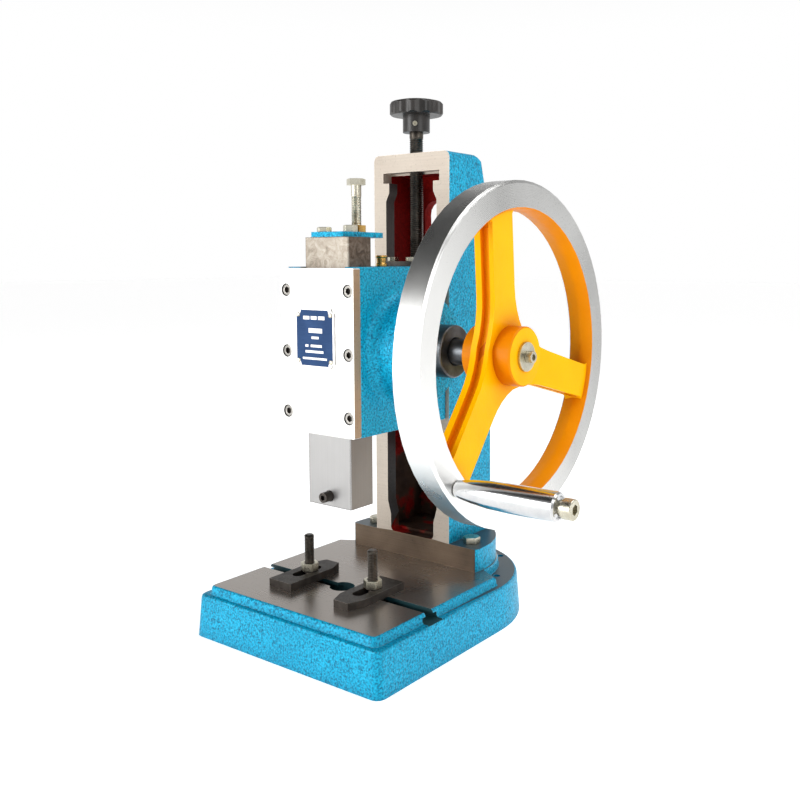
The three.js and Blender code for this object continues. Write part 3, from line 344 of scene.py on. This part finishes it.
# ---- putting materials on the CAD nodes ----
def dress(name, *materials, pick=None, bevel=0.4, angle=32.0, segments=2):
    """Materials go on a CAD node; pick(centre, normal) gives a face's material number. Edges are softened."""
    node = NODES[name]
    mesh = node.data
    mesh.materials.clear()
    for material in materials:
        mesh.materials.append(material)
    for polygon in mesh.polygons:
        polygon.material_index = pick(polygon.center, polygon.normal) if pick else 0
        polygon.use_smooth = True
    if "custom_normal" in mesh.attributes:
        mesh.attributes.remove(mesh.attributes["custom_normal"])
    weld = node.modifiers.new("weld", "WELD")
    weld.merge_threshold = 0.004 * MM
    planar = node.modifiers.new("planar", "DECIMATE")
    planar.decimate_type = "DISSOLVE"
    planar.angle_limit = math.radians(0.4)
    planar.delimit = {"MATERIAL", "NORMAL"}
    if bevel:
        soft = node.modifiers.new("soft_edges", "BEVEL")
        soft.width = bevel * MM
        soft.segments = segments
        soft.limit_method = "ANGLE"
        soft.angle_limit = math.radians(angle)
        soft.use_clamp_overlap = True
        soft.harden_normals = False
    smooth_shading(node, angle)


def smooth_shading(node, angle):
    """Smooth across edges below an angle in degrees, with normals that keep flat faces flat."""
    sharp = node.modifiers.new("smooth", "NODES")
    sharp.node_group = smooth_group(angle)
    level = node.modifiers.new("level_faces", "WEIGHTED_NORMAL")
    level.mode = "FACE_AREA"
    level.keep_sharp = True


def smooth_group(angle):
    """Geometry nodes that shade smooth across shallow edges only."""
    name = f"smooth_by_{angle:g}"
    if name in bpy.data.node_groups:
        return bpy.data.node_groups[name]
    group = bpy.data.node_groups.new(name, "GeometryNodeTree")
    group.interface.new_socket("Geometry", in_out="INPUT", socket_type="NodeSocketGeometry")
    group.interface.new_socket("Geometry", in_out="OUTPUT", socket_type="NodeSocketGeometry")
    start = group.nodes.new("NodeGroupInput")
    end = group.nodes.new("NodeGroupOutput")
    edge_angle = group.nodes.new("GeometryNodeInputMeshEdgeAngle")
    compare = group.nodes.new("FunctionNodeCompare")
    compare.data_type = "FLOAT"
    compare.operation = "LESS_EQUAL"
    compare.inputs["B"].default_value = math.radians(angle)
    smooth = group.nodes.new("GeometryNodeSetShadeSmooth")
    smooth.domain = "EDGE"
    links = group.links
    links.new(start.outputs[0], smooth.inputs["Geometry"])
    links.new(edge_angle.outputs["Unsigned Angle"], compare.inputs["A"])
    links.new(compare.outputs["Result"], smooth.inputs["Shade Smooth"])
    links.new(smooth.outputs["Geometry"], end.inputs[0])
    return group


def ram_frame(point):
    """A point in millimetres from the ram's axis."""
    return point.x / MM, (point.y - AXIS_Y) / MM, point.z / MM


def base_pick(centre, normal):
    """0 paint, 1 table, 2 rear ledge, 3 inside the T-slot and the centre hole, the slot's own teal darkened
    as painted shade, 4 raw casting underneath.
    """
    x, y, z = ram_frame(centre)
    if z > TABLE_TOP - 0.2 and normal.z > 0.95:
        return 1
    if abs(z - LEDGE_TOP) < 0.5 and normal.z > 0.95 and y > 60:
        return 2
    in_slot = LEDGE_TOP - 1 < z < TABLE_TOP - 0.05 and abs(y) < 9
    if in_slot and (abs(normal.z) > 0.95 or abs(normal.y) > 0.95):
        return 3
    if math.hypot(x, y) < 10.6:
        return 3
    inward = normal.x * x + normal.y * (y - BASE_MIDDLE_Y) < 0
    on_ribs = abs(x) < 60 and -50 < y < 130
    if z < POCKET_TOP + 0.5 and (normal.z < -0.5 or on_ribs or (inward and abs(x) < 87.6)):
        return 4
    return 0


def column_pick(centre, normal):
    """0 paint, 1 guide faces, 2 slate, 3 primer inside, 4 raw groove, 5 the foot's front."""
    x, y, z = ram_frame(centre)
    if normal.y < -0.9 and y < COLUMN_FRONT + 0.5:
        return 1 if z > FOOT_TOP + 0.8 else 5
    if abs(z - FOOT_TOP) < 0.3 and normal.z > 0.9 and abs(x) > 30:
        return 2
    if 365 < z < 374 and y < 101.5 and abs(x) < 31:
        return 1
    if y < 100.9 and 20 < abs(x) < 31 and z > 72:
        return 4
    if z > COLUMN_TOP - 3.7 and normal.z > 0.9 and math.hypot(x, y - SPINDLE_Y) < 7:
        return 2
    inside = abs(x) < WINDOW["half_width"] and WINDOW["front"] < y < WINDOW["rear"]
    outside_back = normal.y > 0.5 and y > 110
    if inside and WINDOW["bottom"] < z < WINDOW["top"] and not outside_back:
        return 3
    if z < TABLE_TOP + 0.7:
        return 2
    return 0


def head_pick(centre, normal):
    """0 paint, 1 the tongue in the column, 2 dark bores and ways."""
    x, y, z = ram_frame(centre)
    if y > 89 and abs(x) < 27:
        return 1
    if abs(x) < 23 and y < 13.6:
        return 2
    return 2 if math.hypot(y - 35, z - 231.8) < 28 and -38 < x < BOSS_END else 0


def wheel_pick(centre, normal):
    """0 yellow, 1 turned rim, 2 bore and bolt hole, 3 painted shade: an orange copy of the yellow on the
    hub's side and the rim's inside.
    """
    x, y, z = centre.x / MM, (centre.y - SHAFT.y) / MM, (centre.z - SHAFT.z) / MM
    radius = math.hypot(y, z)
    if radius > 105.2 and not (radius < 106 and abs(normal.x) < 0.9 and x > 130):
        return 1
    if radius < 10.4 or (radius < 14 and abs(normal.x) < 0.5):
        return 2
    inward = -(normal.y * y + normal.z * z) / radius
    on_hub_side = radius < 23 and inward < -0.5
    # Painted shade: the hub's side and the rim's inside take the orange copy of the yellow.
    return 3 if on_hub_side or (radius > 80 and inward > 0.5) else 0


def middle_of(name):
    """The middle of a node's box."""
    low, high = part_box(name)
    return (Vector(low) + Vector(high)) / 2


COVER_SCREWS = [middle_of(f"cover_screw_{i}") for i in range(1, 7)]


def near_cover_screw(point, radius):
    return any(math.hypot(point.x - middle.x, point.z - middle.z) < radius * MM for middle in COVER_SCREWS)


def cover_screw_pick(centre, normal):
    """0 head, 1 the dark socket in it."""
    return 1 if near_cover_screw(centre, 2.7) else 0


def cover_pick(centre, normal):
    """0 ground faces, 1 the counterbores, in dark steel as painted shade, 2 the bronze-brown side strips."""
    x, _, z = ram_frame(centre)
    # Painted shade: faces in the counterbores round the screws get dark steel.
    if near_cover_screw(centre, 5.2):
        return 1
    if abs(x) > COVER_FACE["half_width"] and abs(normal.x) > 0.9:
        return 2
    return 0 if abs(normal.y) > 0.9 or z > COVER_FACE["top"] or z < COVER_FACE["bottom"] else 1


def ram_pick(centre, normal):
    """0 front, 1 the rack's teeth, 2 the right side, in a darker copy of the ram's steel as painted shade."""
    x, y, _ = ram_frame(centre)
    if normal.y > 0.05 and 8 < y < 12.8 and abs(x) < 11:
        return 1
    return 2 if normal.x > 0.9 else 0


dress("base_casting", BLUE, TABLE, SLATE, SLOT_COLOUR_AND_PAINTED_SHADE, CAST_RAW, pick=base_pick, bevel=0.5)
dress("column_casting", BLUE, GUIDE, SLATE, PRIMER, CAST_RAW, FOOT, pick=column_pick, bevel=0.8)
dress("head_casting", BLUE, GUIDE, DARK, pick=head_pick, bevel=0.7)
dress("handwheel", YELLOW, RIM, DARK, YELLOW_IN_PAINTED_SHADE, pick=wheel_pick, bevel=1.2, segments=3)
dress("shaft_cap", BLUE, bevel=0.5)
dress("stop_plate", BLUE, bevel=0.5)
dress("cover_plate", COVER, DARK, SIDE_BRONZE, pick=cover_pick, bevel=0.35)
dress("ram", RAM, DARK, RAM_IN_PAINTED_SHADE, pick=ram_pick, bevel=0.5)
dress("gib_plate", BRONZE, bevel=0.2)
dress("clamp_shoe", DARK)
dress("pinion_shaft", DARK, bevel=0.15)
dress("shaft_key", DARK)
dress("shaft_bush", DARK, bevel=0.4)
dress("wheel_washer", ZINC, bevel=0.2)
dress("handle_sleeve", CHROME, bevel=0)
dress("handle_bolt", ZINC, bevel=0.3)
dress("screw_keeper", OXIDE, bevel=0.3)
dress("star_knob", KNOB, bevel=0.5, angle=40)
dress("knob_screw", ZINC, bevel=0)
dress("oil_cup", BRASS, bevel=0.2)
dress("stop_nut", BRASS, bevel=0.4)
dress("tool_screw", OXIDE, bevel=0.3)
dress("nameplate", SILVER, bevel=0.12)
for i in (1, 2):
    dress(f"clamp_strap_{i}", OXIDE, bevel=0.7)
    dress(f"clamp_nut_{i}", ZINC, bevel=0.6)
    for kind in ("foot_bolt", "lower_bolt", "shoe_bolt", "plate_bolt", "keeper_bolt"):
        dress(f"{kind}_{i}", ZINC, bevel=0.3)
for i in range(1, 7):
    dress(f"cover_screw_{i}", SCREW_FACE, OXIDE, pick=cover_screw_pick, bevel=0.25)
for i in range(1, 5):
    dress(f"nameplate_rivet_{i}", ZINC, bevel=0)
for i in range(1, 4):
    dress(f"cap_screw_{i}", ZINC, bevel=0.2)
dress("wheel_bolt", ZINC, bevel=0.3)


# ---- threads: turned pieces with a real helix in place of the plain CAD shanks ----
def helix(mesh, profile, pitch, depth, threads, centre, steps=24):
    """Rings up a profile of (height, radius) points; inside each thread span the radius follows the helix."""
    heights = []
    for (low, _), (high, _) in zip(profile, profile[1:]):
        threaded = any(start <= low and high <= end for start, end in threads)
        count = max(1, round((high - low) / (pitch / 6))) if threaded else 1
        heights += [(low + (high - low) * i / count) for i in range(count)]
    heights.append(profile[-1][0])

    def radius_at(height, angle):
        for (low, start), (high, end) in zip(profile, profile[1:]):
            if low <= height <= high:
                plain = start + (end - start) * (height - low) / (high - low)
                break
        for low, high in threads:
            if low < height < high:
                turn = (height / pitch - angle / (2 * math.pi)) % 1.0
                fade = min(1.0, (height - low) / pitch, (high - height) / pitch)
                return plain - depth * fade * (1 - abs(2 * turn - 1))
        return plain

    rings = []
    for height in heights:
        ring = []
        for i in range(steps):
            angle = 2 * math.pi * i / steps
            r = radius_at(height, angle)
            ring.append(mesh.verts.new(((centre[0] + r * math.cos(angle)) * MM,
                                        (centre[1] + r * math.sin(angle)) * MM + AXIS_Y, height * MM)))
        rings.append(ring)
    for lower, upper in zip(rings, rings[1:]):
        for i in range(steps):
            j = (i + 1) % steps
            mesh.faces.new((lower[i], lower[j], upper[j], upper[i]))
    mesh.faces.new(list(reversed(rings[0])))
    mesh.faces.new(rings[-1])


def threaded_piece(name, node, body, slot, material, keep, **shape):
    """A piece with the CAD node's head (where keep(z) holds, in mm) and a threaded shank."""
    mesh = bmesh.new()
    mesh.from_mesh(NODES[node].data)
    bmesh.ops.remove_doubles(mesh, verts=mesh.verts, dist=0.004 * MM)
    centre = Vector((shape["centre"][0] * MM, shape["centre"][1] * MM + AXIS_Y))
    reach = shape["profile"][1][1] * MM + 0.05 * MM
    gone = [v for v in mesh.verts if not keep(v.co.z / MM) or (v.co.xy - centre).length < reach]
    bmesh.ops.delete(mesh, geom=gone, context="VERTS")
    bmesh.ops.holes_fill(mesh, edges=mesh.edges, sides=0)
    helix(mesh, **shape)
    data = bpy.data.meshes.new(name)
    mesh.to_mesh(data)
    mesh.free()
    data.materials.append(material)
    for polygon in data.polygons:
        polygon.material_index = 0
        polygon.use_smooth = True
    piece = bpy.data.objects.new(name, data)
    bpy.context.scene.collection.objects.link(piece)
    smooth_shading(piece, 40.0)
    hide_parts(node)
    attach(piece, body)


# (height, radius) up the spindle: tip, short thread, the keeper's neck, long thread, the end in the knob
SPINDLE_SHAPE = [(285.0, 4.8), (286.0, 5.8), (294.5, 5.8), (294.6, 4.0), (299.6, 4.0), (299.7, 5.8),
                 (402.1, 5.8), (406.1, 5.8), (420.1, 4.8)]
threaded_piece("lead_screw_thread", "lead_screw", "spindle", "spindle_steel", THREAD, lambda z: False,
               profile=SPINDLE_SHAPE, pitch=1.75, depth=0.75, threads=[(286.0, 294.5), (299.7, 402.1)],
               centre=(0, SPINDLE_Y), steps=28)
STUD_HEAD_TOP = 37.7
for i, x in ((1, -36.0), (2, 32.2)):
    threaded_piece(f"clamp_stud_thread_{i}", f"clamp_stud_{i}", f"stud_{i}", "black_oxide", THREAD,
                   lambda z: z < STUD_HEAD_TOP + 0.01,
                   profile=[(STUD_HEAD_TOP - 1, 4.0), (STUD_HEAD_TOP, 4.0), (76.2, 4.0), (77.2, 3.0)],
                   pitch=1.25, depth=0.62, threads=[(STUD_HEAD_TOP, 76.2)], centre=(x, 0.0))
STOP_HEAD = 358.0
threaded_piece("stop_bolt_thread", "stop_bolt", "stop_screw", "zinc", ZINC, lambda z: z > STOP_HEAD - 0.01,
               profile=[(307.5, 4.0), (308.5, 4.0), (350.0, 4.0), (STOP_HEAD + 0.4, 4.0)],
               pitch=1.25, depth=0.55, threads=[(308.5, 350.0)], centre=(0.0, 21.5))


# ---- nameplate: a blue field with hollow corners and plain printed strips, no lettering ----
def flat_outline(mesh, points, y_back, y_front):
    """A thin prism facing the front; points are (x, z) in metres, running anticlockwise as seen."""
    front = [mesh.verts.new((x, y_front, z)) for x, z in points]
    back = [mesh.verts.new((x, y_back, z)) for x, z in points]
    mesh.faces.new(front)
    mesh.faces.new(list(reversed(back)))
    for i in range(len(points)):
        j = (i + 1) % len(points)
        mesh.faces.new([front[j], front[i], back[i], back[j]])


def printed(name, outlines, material, proud):
    """A print on the nameplate's front, standing a hair proud of it."""
    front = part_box("nameplate")[0][1]
    mesh = bmesh.new()
    for points in outlines:
        flat_outline(mesh, points, front + 0.2 * MM, front - proud)
    data = bpy.data.meshes.new(name)
    mesh.to_mesh(data)
    mesh.free()
    data.materials.append(material)
    piece = bpy.data.objects.new(name, data)
    bpy.context.scene.collection.objects.link(piece)
    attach(piece, "head")


def nameplate_print():
    """The blue field, its corners hollowed round the rivets, and strips in place of the lettering."""
    low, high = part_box("nameplate")
    middle = ((low[0] + high[0]) / 2, (low[2] + high[2]) / 2)
    half_width, half_height = (high[0] - low[0]) / 2 - 1.6 * MM, (high[2] - low[2]) / 2 - 1.7 * MM
    hollow = 4.6 * MM
    field = []
    for sx, sz, start in ((1, -1, 180), (1, 1, 270), (-1, 1, 0), (-1, -1, 90)):
        for i in range(7):
            angle = math.radians(start - 15 * i)
            field.append((middle[0] + sx * half_width + hollow * math.cos(angle),
                          middle[1] + sz * half_height + hollow * math.sin(angle)))
    printed("nameplate_field", [field], PLATE_FIELD, 0.05 * MM)
    strips = []
    # each row in mm: its height from the plate's middle, how tall it is, then the spans of its strips
    rows = ((15.2, 2.6, (-11.5, -5.0), (-3.5, 2.5), (4.0, 10.5)),
            (5.6, 3.4, (-6.0, 8.0)),
            (0.2, 1.8, (-3.0, 4.4)),
            (-6.0, 1.8, (-9.5, -6.5), (-4.0, 7.5)),
            (-10.4, 1.8, (-9.5, 9.0)),
            (-15.6, 1.6, (-12.5, 12.5)))
    for height, tall, *spans in rows:
        for left, right in spans:
            x0, x1 = middle[0] + left * MM, middle[0] + right * MM
            z0, z1 = middle[1] + (height - tall / 2) * MM, middle[1] + (height + tall / 2) * MM
            strips.append([(x0, z0), (x1, z0), (x1, z1), (x0, z1)])
    printed("nameplate_strips", strips, SILVER, 0.09 * MM)


nameplate_print()


# ---- studio ----
# Direction, the cosines where the dimming starts and ends, and the brightness left:
# overhead, to the right, and high on the left, where the rim's outside looks.
DIM_PATCHES = (((0.0, 0.0, 1.0), 0.22, 0.62, 0.42),
               ((0.90, -0.42, 0.0), 0.25, 0.85, 0.55),
               ((-0.60, -0.11, 0.79), 0.70, 0.92, 0.10))


def studio_world():
    """A white room, dimmer overhead and to the right, so that bright metal has something dark to show."""
    world = bpy.data.worlds.new("studio_world")
    world.use_nodes = True
    nodes, links = world.node_tree.nodes, world.node_tree.links
    way = nodes.new("ShaderNodeTexCoord").outputs["Generated"]
    strength = None
    for direction, low, high, dim in DIM_PATCHES:
        dot = nodes.new("ShaderNodeVectorMath")
        dot.operation = "DOT_PRODUCT"
        dot.inputs[1].default_value = direction
        links.new(way, dot.inputs[0])
        ramp = nodes.new("ShaderNodeMapRange")
        ramp.interpolation_type = "SMOOTHSTEP"
        for key, value in (("From Min", low), ("From Max", high), ("To Min", 1.0), ("To Max", dim)):
            ramp.inputs[key].default_value = value
        links.new(dot.outputs["Value"], ramp.inputs["Value"])
        if strength is None:
            strength = ramp.outputs["Result"]
        else:
            product = nodes.new("ShaderNodeMath")
            product.operation = "MULTIPLY"
            links.new(strength, product.inputs[0])
            links.new(ramp.outputs["Result"], product.inputs[1])
            strength = product.outputs[0]
    background = nodes["Background"]
    background.inputs["Color"].default_value = (1.0, 1.0, 1.0, 1.0)
    links.new(strength, background.inputs["Strength"])
    bpy.context.scene.world = world


def studio():
    """A pale glowing floor and three softboxes."""
    scene = bpy.context.scene
    scene.view_settings.view_transform = "Standard"
    studio_world()
    mesh = bpy.data.meshes.new("floor")
    reach = 12.0
    corners = [(-reach, -reach, 0), (reach, -reach, 0), (reach, reach, 0), (-reach, reach, 0)]
    mesh.from_pydata(corners, [], [(0, 1, 2, 3)])
    floor = bpy.data.objects.new("floor", mesh)
    scene.collection.objects.link(floor)
    pale = Shader("pale_floor")
    white = (1.0, 1.0, 1.0)
    mesh.materials.append(pale.set(colour=(0.93, 0.93, 0.93), rough=0.8, glow=white, glow_strength=0.62))

    def softbox(name, place, target, width, height, power):
        light = bpy.data.lights.new(name, "AREA")
        light.shape = "RECTANGLE"
        light.size = width
        light.size_y = height
        light.energy = power
        lamp = bpy.data.objects.new(name, light)
        lamp.location = place
        lamp.rotation_euler = (Vector(target) - Vector(place)).to_track_quat("-Z", "Y").to_euler()
        scene.collection.objects.link(lamp)

    middle = (0, 0, 0.2)
    softbox("key", (-0.7, -1.5, 0.5), middle, 0.7, 0.9, 12)
    softbox("fill", (1.5, -0.4, 0.7), middle, 0.8, 1.2, 6)
    softbox("top", (0.5, 0.3, 1.5), middle, 1.0, 1.0, 8)


def photo_camera():
    """The photograph's view, fitted to the machine's straight edges and circles."""
    data = bpy.data.cameras.new("camera")
    data.sensor_width = 36.0
    data.lens = 41.016
    data.shift_x = -0.0482
    data.shift_y = -0.04325
    camera = bpy.data.objects.new("camera", data)
    camera.location = (0.48186, -0.51915 + AXIS_Y, 0.29983)
    camera.rotation_euler = (math.radians(90 - 6.57), 0.0, math.radians(36.62))
    bpy.context.scene.collection.objects.link(camera)
    bpy.context.scene.camera = camera


studio()
photo_camera()
